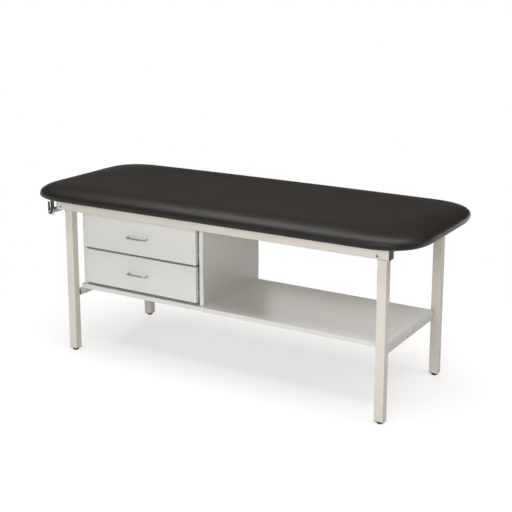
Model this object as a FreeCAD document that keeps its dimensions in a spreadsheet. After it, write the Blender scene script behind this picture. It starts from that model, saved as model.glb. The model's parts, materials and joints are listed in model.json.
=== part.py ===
import FreeCAD, Part
import math
import os
import re
import Sketcher
from FreeCAD import Placement, Rotation, Vector

# Treatment table: a padded top on a welded steel frame, a shelf and a two-drawer cabinet.
# The origin is on the floor under the middle of the top. X runs to the foot end,
# Y to the back and Z up. All sizes are in millimetres.

SIZES = {
    # padded top and its board
    "top_length": 1829,
    "top_width": 736,
    "top_corner": 172,
    "top_thickness": 54,
    "crown": 3,
    "edge_roll": 42,
    "edge_height": 34.5,
    "edge_tuck": 22,
    "crown_inset": 148,
    "board_thickness": 12.7,
    "board_rim": 6,
    "board_clearance": 0.3,
    # legs and rails
    "leg_tube": 38.1,
    "leg_wall": 2,
    "tube_radius": 4,
    "leg_length": 630.5,
    "head_leg_inset": 43.5,
    "foot_leg_inset": 7.5,
    "shelf_leg_gap": 23.9,
    "rail_height": 50.8,
    "rail_overhang": 124,
    "cap_thickness": 3,
    "cap_depth": 15,
    "cap_round": 1,
    "cap_clearance": 0.15,
    # levelling glides and the inserts that hold them
    "glide_height": 12,
    "glide_radius": 13,
    "glide_pad": 6,
    "glide_rim": 4.2,
    "glide_chamfer": 1.5,
    "glide_collar": 8,
    "glide_seat": 0.3,
    "stem_radius": 4,
    "stem_length": 24,
    "stem_clearance": 0.08,
    "insert_depth": 22,
    "insert_flange": 2,
    # cross tubes, top members and the centre stretcher
    "cross_tube": 25.4,
    "cross_wall": 1.5,
    "cross_radius": 3,
    "cross_height": 253.5,
    "cross_inset": 21,
    "head_member_inset": 24.5,
    "foot_member_inset": 45,
    "brace_margin": 8.1,
    "plate_thickness": 5,
    # bolts and screws
    "bolt_radius": 4,
    "bolt_head": 6.8,
    "bolt_spare": 14,
    "brace_bolt": 3,
    "brace_head": 5.2,
    "brace_spacing": 60,
    "brace_spare": 4,
    "head_height": 3.6,
    "bolt_clearance": 0.25,
    "screw_radius": 2.2,
    "screw_head": 4.5,
    "screw_bite": 9,
    "pilot_spare": 1,
    "screw_clearance": 0.1,
    # shelf
    "shelf_thickness": 19,
    "shelf_left_inset": 31,
    "edge_radius": 1.5,
    # cabinet
    "cabinet_width": 640,
    "cabinet_height": 344,
    "panel_thickness": 19,
    "back_thickness": 12,
    # drawers
    "front_thickness": 19,
    "front_height": 154,
    "front_gap": 8,
    "front_side_gap": 5,
    "front_lift": 13,
    "front_seat": 1,
    "box_wall": 12,
    "box_height": 100,
    "box_back_gap": 36,
    "box_lift": 22,
    "bottom_thickness": 6,
    "groove_depth": 6,
    "groove_lift": 10,
    "groove_clearance": 0.2,
    # roller runners
    "runner_space": 12.7,
    "runner_gauge": 1.2,
    "runner_length": 396,
    "runner_end_gap": 4,
    "runner_flange": 10,
    "runner_setback": 3,
    "roller_radius": 8,
    "roller_width": 7,
    "roller_bevel": 1,
    "roller_end": 14,
    "roller_side": 0.6,
    "pin_radius": 2.5,
    "pin_clearance": 0.06,
    "track_clearance": 0.3,
    "lip_clearance": 1,
    # drawer pulls
    "pull_spacing": 96,
    "pull_radius": 4,
    "pull_reach": 26,
    "pull_bend": 11,
    "pull_screw": 2,
    "pull_bite": 9,
    # paper roll hooks and rod
    "hook_from_end": 70,
    "hook_side_inset": 88,
    "hook_thickness": 6,
    "hook_drop": 69,
    "hook_tip": 42,
    "hook_tip_width": 6,
    "shank_width": 17,
    "shank_top_width": 15.3,
    "hook_shoulder": 14.7,
    "hook_round": 5.4,
    "cradle_flat": 0.1,
    "hook_web": 9,
    "hook_flange": 4,
    "flange_length": 26,
    "flange_width": 26,
    "spindle_radius": 4,
    "spindle_clearance": 0.35,
    "rod_radius": 12,
    "disc_radius": 19,
    "disc_thickness": 4,
    "disc_gap": 2,
}

# sizes that follow from the ones above
LINKED = {
    "board_inset": "edge_tuck + board_rim",
    "rail_length": "top_length - 2 * rail_overhang",
    "leg_spread_x": "rail_length - head_leg_inset - foot_leg_inset",
    "leg_shift": "(head_leg_inset - foot_leg_inset) / 2",
    "stretcher_width": "brace_spacing + 2 * brace_margin",
    "box_depth": "runner_length + runner_end_gap",
    "shelf_width": "front_thickness + box_depth + box_back_gap + back_thickness",
    "leg_spread_y": "shelf_width + 2 * shelf_leg_gap + 2 * leg_tube",
    "hook_spread": "top_width - 2 * hook_side_inset",
}

# places of screws as shares of the piece that they hold
RAIL_SCREWS = (-0.3, 0, 0.3)
SHELF_SCREWS = (-0.4, 0.4)
PANEL_SCREWS = (0.22, 0.78)
FLANGE_SCREWS = (-0.32, 0.32)
PAIR = (-0.5, 0.5)
# share of a screw head's height at its rim, and of its radius at its flat top
HEAD_RIM = 0.45
HEAD_FLAT = 0.6
# angles of the pad's rings up its tucked lower edge and over its top roll
TUCK_ANGLES = (90, 60, 30)
ROLL_ANGLES = (0, 20, 40, 60, 75, 90)
NEAR = 0.01

os.makedirs("parts", exist_ok=True)
doc = FreeCAD.newDocument("treatment_table")
sheet = doc.addObject("Spreadsheet::Sheet", "Sizes")
cells = {name: str(number) for name, number in SIZES.items()}
cells.update({name: f"={text}" for name, text in LINKED.items()})
for row, (name, content) in enumerate(cells.items(), start=1):
    sheet.set(f"A{row}", name)
    sheet.set(f"B{row}", content)
    sheet.setAlias(f"B{row}", name)
doc.recompute()

pieces = []


def formula(text):
    # writes the sheet's name before each size in a plain formula
    def named(word):
        return f"Sizes.{word[0]}" if word[0] in cells else word[0]
    return re.sub(r"[a-z][a-z_]*", named, text)


def value(text):
    return float(sheet.evalExpression(formula(text)))


def bind(thing, path, text):
    thing.setExpression(path, formula(text))


def new_body(name, x="0", y="0", z="0", keep=True):
    body = doc.addObject("PartDesign::Body", name)
    body.Label = name
    for axis, text in zip("xyz", (x, y, z)):
        bind(body, f"Placement.Base.{axis}", text)
    if keep:
        pieces.append(body)
    return body


def new_sketch(body, plane, lift="0"):
    sketch = body.newObject("Sketcher::SketchObject", "outline")
    support = next(item for item in body.Origin.OriginFeatures if item.Role == plane)
    sketch.AttachmentSupport = [(support, "")]
    sketch.MapMode = "FlatFace"
    bind(sketch, "AttachmentOffset.Base.z", lift)
    return sketch


def pin(sketch, shape, point, x, y):
    # holds one point of a sketch at formulas for its two coordinates
    for kind, text in (("DistanceX", x), ("DistanceY", y)):
        constraint = Sketcher.Constraint(kind, -1, 1, shape, point, value(text))
        bind(sketch, f"Constraints[{sketch.addConstraint(constraint)}]", text)


def set_radius(sketch, shape, radius):
    constraint = Sketcher.Constraint("Radius", shape, value(radius))
    bind(sketch, f"Constraints[{sketch.addConstraint(constraint)}]", radius)


def polygon(sketch, corners):
    points = [Vector(value(x), value(y), 0) for x, y in corners]
    count = len(points)
    first = sketch.GeometryCount
    for i, start in enumerate(points):
        sketch.addGeometry(Part.LineSegment(start, points[(i + 1) % count]), False)
    for i, (x, y) in enumerate(corners):
        after = first + (i + 1) % count
        sketch.addConstraint(Sketcher.Constraint("Coincident", first + i, 2, after, 1))
        pin(sketch, first + i, 1, x, y)


def rectangle(sketch, left, right, bottom, top):
    polygon(sketch, [(left, bottom), (right, bottom), (right, top), (left, top)])


def circle(sketch, x, y, radius):
    centre = Vector(value(x), value(y), 0)
    shape = sketch.addGeometry(Part.Circle(centre, Vector(0, 0, 1), value(radius)), False)
    pin(sketch, shape, 3, x, y)
    set_radius(sketch, shape, radius)


def rounded_rectangle(sketch, half_x, half_y, radius):
    # four corner arcs held at their centres, joined by lines tangent to them
    quarter = math.pi / 2
    reach_x, reach_y, turn = value(half_x), value(half_y), value(radius)
    signs = [(1, 1), (-1, 1), (-1, -1), (1, -1)]
    centres = [Vector(sx * (reach_x - turn), sy * (reach_y - turn), 0) for sx, sy in signs]
    first = sketch.GeometryCount
    for i, centre in enumerate(centres):
        ring = Part.Circle(centre, Vector(0, 0, 1), turn)
        sketch.addGeometry(Part.ArcOfCircle(ring, i * quarter, (i + 1) * quarter), False)
    for i in range(4):
        start = sketch.getPoint(first + i, 2)
        end = sketch.getPoint(first + (i + 1) % 4, 1)
        sketch.addGeometry(Part.LineSegment(start, end), False)
    for i, (sx, sy) in enumerate(signs):
        side = first + 4 + i
        sketch.addConstraint(Sketcher.Constraint("Tangent", first + i, 2, side, 1))
        sketch.addConstraint(Sketcher.Constraint("Tangent", side, 2, first + (i + 1) % 4, 1))
        pin(sketch, first + i, 3, f"{sx} * ({half_x} - ({radius}))", f"{sy} * ({half_y} - ({radius}))")
        set_radius(sketch, first + i, radius)


def pad(body, sketch, length, reverse=False, middle=False):
    feature = body.newObject("PartDesign::Pad", "pad")
    feature.Profile = sketch
    bind(feature, "Length", length)
    feature.Reversed = reverse
    feature.Midplane = middle
    return feature


def pocket(body, sketch, depth=None, reverse=False, middle=False):
    feature = body.newObject("PartDesign::Pocket", "pocket")
    feature.Profile = sketch
    feature.Reversed = reverse
    feature.Midplane = middle
    if depth is None:
        feature.Type = "ThroughAll"
    else:
        bind(feature, "Length", depth)
    return feature


def revolve(body, sketch, axis):
    feature = body.newObject("PartDesign::Revolution", "revolution")
    feature.Profile = sketch
    feature.ReferenceAxis = (sketch, [axis])
    feature.Angle = 360
    return feature


def round_edges(body, radius, chosen):
    # rounds those edges of the body for which chosen(edge) is true
    doc.recompute()
    base = body.Tip
    names = [f"Edge{i}" for i, edge in enumerate(base.Shape.Edges, start=1) if chosen(edge)]
    feature = body.newObject("PartDesign::Fillet", "rounding")
    feature.Base = (base, names)
    bind(feature, "Radius", radius)
    return feature


def tube(sketch, half_x, half_y, wall, radius):
    rounded_rectangle(sketch, half_x, half_y, radius)
    rounded_rectangle(sketch, f"{half_x} - {wall}", f"{half_y} - {wall}", f"{radius} - {wall}")


def group(name, shapes):
    feature = doc.addObject("Part::Feature", name)
    feature.Label = name
    feature.Shape = Part.makeCompound(shapes)
    pieces.append(feature)
    return feature


def fastener(name, head, shank, length):
    # a domed head on a plain shank; the seat is at z = 0 and the shank points down
    body = new_body(f"{name}_pattern", keep=False)
    sketch = new_sketch(body, "XZ_Plane")
    polygon(sketch, [("0", f"0 - ({length})"), (shank, f"0 - ({length})"), (shank, "0"), (head, "0"),
                     (head, f"head_height * {HEAD_RIM}"), (f"{head} * {HEAD_FLAT}", "head_height"),
                     ("0", "head_height")])
    revolve(body, sketch, "V_Axis")
    doc.recompute()
    return body.Shape


def placed(shape, x, y, z, toward=Vector(0, 0, 1)):
    # a copy of a shape at formulas for its place, its own Z turned to a direction
    copy = shape.copy()
    turn = Rotation(Vector(0, 0, 1), toward)
    copy.Placement = Placement(Vector(value(x), value(y), value(z)), turn)
    return copy


def mirrored(shape, x):
    # a copy of a shape on the other side of the plane at x
    return shape.mirror(Vector(value(x), 0, 0), Vector(1, 0, 0))


# places that several pieces share
rail_bottom = "(glide_height + leg_length)"
rail_top = f"({rail_bottom} + rail_height)"
rail_y = "(leg_spread_y / 2 - leg_tube / 2)"
leg_x = "(leg_spread_x / 2 - leg_tube / 2)"
foot_end = "(leg_spread_x / 2 + leg_shift - cross_inset)"
head_end = "(0 - leg_spread_x / 2 + leg_shift + cross_inset)"
cross_top = "(cross_height + cross_tube)"
shelf_top = f"({cross_top} + shelf_thickness)"
shelf_left = "(0 - leg_spread_x / 2 + leg_shift + shelf_left_inset)"
front_face = "(0 - shelf_width / 2)"
carcass_front = f"({front_face} + front_thickness + front_seat)"
carcass_back = "(shelf_width / 2)"
cabinet_x = f"({shelf_left} + cabinet_width / 2)"
inside_half = "(cabinet_width / 2 - panel_thickness)"
box_half = f"({inside_half} - runner_space)"
box_front = f"({front_face} + front_thickness)"
head_member = "(0 - rail_length / 2 + head_member_inset)"
foot_member = "(rail_length / 2 - foot_member_inset)"
member_z = f"({rail_bottom} + cross_tube / 2)"
brace_z = "(cross_height + cross_tube / 2)"
hook_x = "(0 - top_length / 2 + hook_from_end)"
hook_z = f"({rail_top} - hook_drop)"
hook_reach = "(spindle_radius + spindle_clearance)"
shank_x = f"({hook_reach} + shank_width / 2)"
DOWN = Vector(0, 0, -1)
BACK = Vector(0, 1, 0)
FRONT = Vector(0, -1, 0)
HEAD = Vector(-1, 0, 0)
FOOT = Vector(1, 0, 0)

# legs, glides and inserts
LEGS = {"front_left": (-1, -1), "front_right": (1, -1), "back_left": (-1, 1), "back_right": (1, 1)}
leg_places = {name: (f"{sx} * {leg_x} + leg_shift", f"{sy} * {rail_y}") for name, (sx, sy) in LEGS.items()}
for name, (x, y) in leg_places.items():
    leg = new_body(f"{name}_leg", x, y, "glide_height")
    section = new_sketch(leg, "XY_Plane")
    tube(section, "leg_tube / 2", "leg_tube / 2", "leg_wall", "tube_radius")
    pad(leg, section, "leg_length")

    glide = new_body(f"{name}_glide", x, y)
    profile = new_sketch(glide, "XZ_Plane")
    collar_top = "glide_height - insert_flange - glide_seat"
    polygon(profile, [("0", "0"), ("glide_radius - glide_chamfer", "0"), ("glide_radius", "glide_chamfer"),
                      ("glide_radius", "glide_rim"), ("glide_collar", "glide_pad"),
                      ("glide_collar", collar_top), ("stem_radius", collar_top),
                      ("stem_radius", f"{collar_top} + stem_length"), ("0", f"{collar_top} + stem_length")])
    revolve(glide, profile, "V_Axis")

insert = new_body("insert_pattern", keep=False)
flange = new_sketch(insert, "XY_Plane")
rounded_rectangle(flange, "leg_tube / 2", "leg_tube / 2", "tube_radius")
pad(insert, flange, "insert_flange", reverse=True)
plug = new_sketch(insert, "XY_Plane")
plug_half = "leg_tube / 2 - leg_wall - cap_clearance"
rounded_rectangle(plug, plug_half, plug_half, "tube_radius - leg_wall")
pad(insert, plug, "insert_depth")
bore = new_sketch(insert, "XY_Plane")
circle(bore, "0", "0", "stem_radius + stem_clearance")
pocket(insert, bore, middle=True)
doc.recompute()
group("leg_inserts", [placed(insert.Shape, x, y, "glide_height") for x, y in leg_places.values()])

# long rails with black end caps
for name, side in (("front_rail", -1), ("back_rail", 1)):
    rail = new_body(name, "0", f"{side} * {rail_y}", f"{rail_bottom} + rail_height / 2")
    section = new_sketch(rail, "YZ_Plane")
    tube(section, "leg_tube / 2", "rail_height / 2", "leg_wall", "tube_radius")
    pad(rail, section, "rail_length", middle=True)
    holes = new_sketch(rail, "XZ_Plane")
    for x in (head_member, foot_member):
        circle(holes, x, "cross_tube / 2 - rail_height / 2", "bolt_radius + bolt_clearance")
    pocket(rail, holes, middle=True)
    screw_holes = new_sketch(rail, "XY_Plane")
    for share in RAIL_SCREWS:
        circle(screw_holes, f"{share} * rail_length", "0", "screw_radius + screw_clearance")
    pocket(rail, screw_holes, middle=True)

cap = new_body("cap_pattern", keep=False)
lid = new_sketch(cap, "XY_Plane")
rounded_rectangle(lid, "rail_height / 2", "leg_tube / 2", "tube_radius")
pad(cap, lid, "cap_thickness")
plug = new_sketch(cap, "XY_Plane")
rounded_rectangle(plug, "rail_height / 2 - leg_wall - cap_clearance",
                  "leg_tube / 2 - leg_wall - cap_clearance", "tube_radius - leg_wall")
pad(cap, plug, "cap_depth", reverse=True)
round_edges(cap, "cap_round", lambda edge: edge.BoundBox.ZMin > value("cap_thickness") - NEAR)
doc.recompute()
caps = []
for end, toward in ((-1, HEAD), (1, FOOT)):
    for side in (-1, 1):
        caps.append(placed(cap.Shape, f"{end} * rail_length / 2", f"{side} * {rail_y}",
                           f"{rail_bottom} + rail_height / 2", toward))
group("rail_end_caps", caps)

# top members between the rails, with a threaded plate in each end
for name, x in (("head_top_member", head_member), ("foot_top_member", foot_member)):
    member = new_body(name, x, "0", member_z)
    section = new_sketch(member, "XZ_Plane")
    tube(section, "cross_tube / 2", "cross_tube / 2", "cross_wall", "cross_radius")
    member_half = "leg_spread_y / 2 - leg_tube"
    pad(member, section, f"2 * ({member_half})", middle=True)
    for side in (-1, 1):
        plate = new_sketch(member, "XZ_Plane", f"{side} * ({member_half} - plate_thickness / 2)")
        rounded_rectangle(plate, "cross_tube / 2 - cross_wall / 2", "cross_tube / 2 - cross_wall / 2",
                          "cross_radius - cross_wall / 2")
        pad(member, plate, "plate_thickness", middle=True)
    threads = new_sketch(member, "XZ_Plane")
    circle(threads, "0", "0", "bolt_radius + bolt_clearance")
    pocket(member, threads, middle=True)

bolt = fastener("member_bolt", "bolt_head", "bolt_radius", "leg_tube + bolt_spare")
group("member_bolts", [placed(bolt, x, f"{side} * leg_spread_y / 2", member_z, toward)
                       for x in (head_member, foot_member) for side, toward in ((-1, FRONT), (1, BACK))])

# places of the screws that hold the cabinet's side panels from below
panel_screws = [(f"({shelf_left} + {side})", f"{carcass_front} + {share} * ({carcass_back} - {carcass_front})")
                for side in ("panel_thickness / 2", "cabinet_width - panel_thickness / 2")
                for share in PANEL_SCREWS]

# low cross rails between the legs and the centre stretcher that braces them
for name, x in (("head_cross_rail", f"{head_end} + cross_tube / 2"),
                ("foot_cross_rail", f"{foot_end} - cross_tube / 2")):
    rail = new_body(name, x, "0", brace_z)
    section = new_sketch(rail, "XZ_Plane")
    tube(section, "cross_tube / 2", "cross_tube / 2", "cross_wall", "cross_radius")
    pad(rail, section, "leg_spread_y - 2 * leg_tube", middle=True)
    holes = new_sketch(rail, "YZ_Plane")
    for place in PAIR:
        circle(holes, f"{place} * brace_spacing", "0", "brace_bolt + bolt_clearance")
    pocket(rail, holes, middle=True)
    screw_holes = new_sketch(rail, "XY_Plane")
    for place in SHELF_SCREWS:
        circle(screw_holes, "0", f"{place} * shelf_width", "screw_radius + screw_clearance")
    if name == "head_cross_rail":
        for panel_x, panel_y in panel_screws[:2]:
            circle(screw_holes, f"{panel_x} - ({x})", panel_y, "screw_radius + screw_clearance")
    pocket(rail, screw_holes, middle=True)

stretcher_half = f"({foot_end} - {head_end} - 2 * cross_tube) / 2"
stretcher = new_body("centre_stretcher", f"({foot_end} + {head_end}) / 2", "0", brace_z)
section = new_sketch(stretcher, "YZ_Plane")
tube(section, "stretcher_width / 2", "cross_tube / 2", "cross_wall", "cross_radius")
pad(stretcher, section, f"2 * {stretcher_half}", middle=True)
for side in (-1, 1):
    plate = new_sketch(stretcher, "YZ_Plane", f"{side} * ({stretcher_half} - plate_thickness / 2)")
    rounded_rectangle(plate, "stretcher_width / 2 - cross_wall / 2", "cross_tube / 2 - cross_wall / 2",
                      "cross_radius - cross_wall / 2")
    pad(stretcher, plate, "plate_thickness", middle=True)
threads = new_sketch(stretcher, "YZ_Plane")
for place in PAIR:
    circle(threads, f"{place} * brace_spacing", "0", "brace_bolt + bolt_clearance")
pocket(stretcher, threads, middle=True)

bolt = fastener("brace_bolt", "brace_head", "brace_bolt", "cross_tube + plate_thickness + brace_spare")
group("stretcher_bolts", [placed(bolt, x, f"{place} * brace_spacing", brace_z, toward)
                          for x, toward in ((head_end, HEAD), (foot_end, FOOT)) for place in PAIR])

# shelf, screwed down on the cross rails
shelf_length = f"({foot_end} - {shelf_left})"
shelf = new_body("shelf", f"({foot_end} + {shelf_left}) / 2", "0", cross_top)
outline = new_sketch(shelf, "XY_Plane")
rectangle(outline, f"0 - {shelf_length} / 2", f"{shelf_length} / 2", "0 - shelf_width / 2", "shelf_width / 2")
pad(shelf, outline, "shelf_thickness")
round_edges(shelf, "edge_radius", lambda edge: edge.BoundBox.ZMin > value("shelf_thickness") - NEAR)
shelf_middle = f"(({foot_end} + {shelf_left}) / 2)"
rail_screws = [(x, f"{place} * shelf_width") for place in SHELF_SCREWS
               for x in (f"({head_end} + cross_tube / 2)", f"({foot_end} - cross_tube / 2)")]
pilots = new_sketch(shelf, "XY_Plane")
for x, y in rail_screws:
    circle(pilots, f"{x} - {shelf_middle}", y, "screw_radius + screw_clearance")
pocket(shelf, pilots, "screw_bite + pilot_spare", reverse=True)
through = new_sketch(shelf, "XY_Plane")
for x, y in panel_screws:
    circle(through, f"{x} - {shelf_middle}", y, "screw_radius + screw_clearance")
pocket(shelf, through, reverse=True)

screw = fastener("shelf_screw", "screw_head", "screw_radius", "cross_tube + screw_bite")
group("shelf_screws", [placed(screw, x, y, "cross_height", DOWN) for x, y in rail_screws])

# cabinet carcass on the shelf
for name, x in (("cabinet_left_panel", f"{shelf_left} + panel_thickness / 2"),
                ("cabinet_right_panel", f"{shelf_left} + cabinet_width - panel_thickness / 2")):
    panel = new_body(name, x, "0", shelf_top)
    outline = new_sketch(panel, "YZ_Plane")
    rectangle(outline, carcass_front, carcass_back, "0", "cabinet_height")
    pad(panel, outline, "panel_thickness", middle=True)
    pilots = new_sketch(panel, "XY_Plane")
    for _, y in panel_screws[:2]:
        circle(pilots, "0", y, "screw_radius + screw_clearance")
    pocket(panel, pilots, "screw_bite + pilot_spare", reverse=True)

# the left panel stands over the head cross rail, so its screws pass through that rail
long_screw = fastener("left_panel_screw", "screw_head", "screw_radius",
                      "cross_tube + shelf_thickness + screw_bite")
short_screw = fastener("right_panel_screw", "screw_head", "screw_radius", "shelf_thickness + screw_bite")
group("cabinet_screws", [placed(long_screw, x, y, "cross_height", DOWN) for x, y in panel_screws[:2]]
      + [placed(short_screw, x, y, cross_top, DOWN) for x, y in panel_screws[2:]])

back = new_body("cabinet_back_panel", cabinet_x, carcass_back, shelf_top)
outline = new_sketch(back, "XZ_Plane")
rectangle(outline, f"0 - {inside_half}", inside_half, "0", "cabinet_height")
pad(back, outline, "back_thickness")

cover = new_body("cabinet_top_panel", cabinet_x, "0", f"{shelf_top} + cabinet_height")
outline = new_sketch(cover, "XY_Plane")
rectangle(outline, f"0 - {inside_half}", inside_half, carcass_front, f"{carcass_back} - back_thickness")
pad(cover, outline, "panel_thickness", reverse=True)

# roller runners: a channel on each panel, a flanged strip on each drawer side.
# A cabinet roller at the front carries the strip, a drawer roller at the back runs in the channel.
roller_z = "(track_clearance + roller_radius)"
strip_z = "(2 * track_clearance + 2 * roller_radius)"
lip_z = f"({strip_z} + runner_gauge + lip_clearance)"
runner_start = f"({carcass_front} + runner_setback)"
drawer_roller_y = f"({box_front} + runner_length - roller_end)"
cabinet_roller_y = f"({runner_start} + roller_end)"
roller_start = "(runner_gauge + roller_side)"
roller_finish = f"({roller_start} + roller_width)"
strip_face = "(runner_space - runner_gauge)"


def cabinet_runner():
    # left channel, seen from the front, with X from the panel and Z from its track
    body = new_body("channel_pattern", keep=False)
    section = new_sketch(body, "XZ_Plane")
    lip_top = f"{lip_z} + runner_gauge"
    polygon(section, [("0", "0 - runner_gauge"), ("runner_flange", "0 - runner_gauge"), ("runner_flange", "0"),
                      ("runner_gauge", "0"), ("runner_gauge", lip_z), ("runner_flange", lip_z),
                      ("runner_flange", lip_top), ("0", lip_top)])
    pad(body, section, "runner_length", reverse=True)
    pivot = new_sketch(body, "YZ_Plane", "runner_gauge / 2")
    circle(pivot, "roller_end", roller_z, "pin_radius")
    pad(body, pivot, f"{roller_finish} + roller_side - runner_gauge / 2")
    doc.recompute()
    return body.Shape


def drawer_runner():
    # left strip, hung on the outside of a drawer side and wrapped under its edge
    body = new_body("strip_pattern", keep=False)
    section = new_sketch(body, "XZ_Plane")
    reach = "(runner_gauge + roller_side)"
    strip_top = f"{strip_z} + runner_gauge"
    polygon(section, [(strip_face, "0 - runner_gauge"), ("runner_space + runner_flange", "0 - runner_gauge"),
                      ("runner_space + runner_flange", "0"), ("runner_space", "0"), ("runner_space", strip_top),
                      (reach, strip_top), (reach, strip_z), (strip_face, strip_z)])
    pad(body, section, "runner_length", reverse=True)
    pivot = new_sketch(body, "YZ_Plane", f"{strip_face} + runner_gauge / 2")
    circle(pivot, "runner_length - roller_end", roller_z, "pin_radius")
    pad(body, pivot, f"{strip_face} + runner_gauge / 2 - {roller_start} + roller_side / 2", reverse=True)
    doc.recompute()
    return body.Shape


def roller():
    # nylon roller with its axis along X, from its own left face
    body = new_body("roller_pattern", keep=False)
    profile = new_sketch(body, "XZ_Plane")
    bore = "pin_radius + pin_clearance"
    polygon(profile, [("0", bore), ("roller_width", bore), ("roller_width", "roller_radius - roller_bevel"),
                      ("roller_width - roller_bevel", "roller_radius"), ("roller_bevel", "roller_radius"),
                      ("0", "roller_radius - roller_bevel")])
    revolve(body, profile, "H_Axis")
    doc.recompute()
    return body.Shape


channel = cabinet_runner()
strip = drawer_runner()
wheel = roller()
inside_left = f"({cabinet_x} - {inside_half})"


def both_sides(shape, y, z, x=inside_left):
    left = placed(shape, x, y, z)
    return [left, mirrored(left, cabinet_x)]


# pull with its two screws
pull = new_body("pull_pattern", keep=False)
path = new_sketch(pull, "XY_Plane")
half = value("pull_spacing / 2")
reach = value("pull_reach")
bend = value("pull_bend")
corner = bend * (1 - math.sqrt(0.5))
post = [path.addGeometry(Part.LineSegment(Vector(-half, 0, 0), Vector(-half, bend - reach, 0)), False)]
post.append(path.addGeometry(Part.Arc(Vector(-half, bend - reach, 0), Vector(corner - half, corner - reach, 0),
                                      Vector(bend - half, -reach, 0)), False))
post.append(path.addGeometry(Part.LineSegment(Vector(bend - half, -reach, 0), Vector(half - bend, -reach, 0)),
                             False))
post.append(path.addGeometry(Part.Arc(Vector(half - bend, -reach, 0), Vector(half - corner, corner - reach, 0),
                                      Vector(half, bend - reach, 0)), False))
post.append(path.addGeometry(Part.LineSegment(Vector(half, bend - reach, 0), Vector(half, 0, 0)), False))
pin(path, post[0], 1, "0 - pull_spacing / 2", "0")
pin(path, post[0], 2, "0 - pull_spacing / 2", "pull_bend - pull_reach")
pin(path, post[2], 1, "pull_bend - pull_spacing / 2", "0 - pull_reach")
pin(path, post[2], 2, "pull_spacing / 2 - pull_bend", "0 - pull_reach")
pin(path, post[4], 1, "pull_spacing / 2", "pull_bend - pull_reach")
pin(path, post[4], 2, "pull_spacing / 2", "0")
for arc, before, after in ((post[1], post[0], post[2]), (post[3], post[2], post[4])):
    ends = (2, 1) if path.getPoint(arc, 1).distanceToPoint(path.getPoint(before, 2)) > NEAR else (1, 2)
    path.addConstraint(Sketcher.Constraint("Coincident", before, 2, arc, ends[0]))
    path.addConstraint(Sketcher.Constraint("Coincident", arc, ends[1], after, 1))
    set_radius(path, arc, "pull_bend")
bar = new_sketch(pull, "XZ_Plane")
circle(bar, "0 - pull_spacing / 2", "0", "pull_radius")
sweep = pull.newObject("PartDesign::AdditivePipe", "sweep")
sweep.Profile = bar
sweep.Spine = (path, [f"Edge{i}" for i in range(1, 6)])
threads = new_sketch(pull, "XZ_Plane")
for side in (-1, 1):
    circle(threads, f"{side} * pull_spacing / 2", "0", "pull_screw + screw_clearance")
pocket(pull, threads, "pull_bite + pilot_spare", reverse=True)
doc.recompute()
pull_screw = fastener("pull_screw", "screw_head", "pull_screw", "front_thickness + box_wall + pull_bite")


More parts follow.
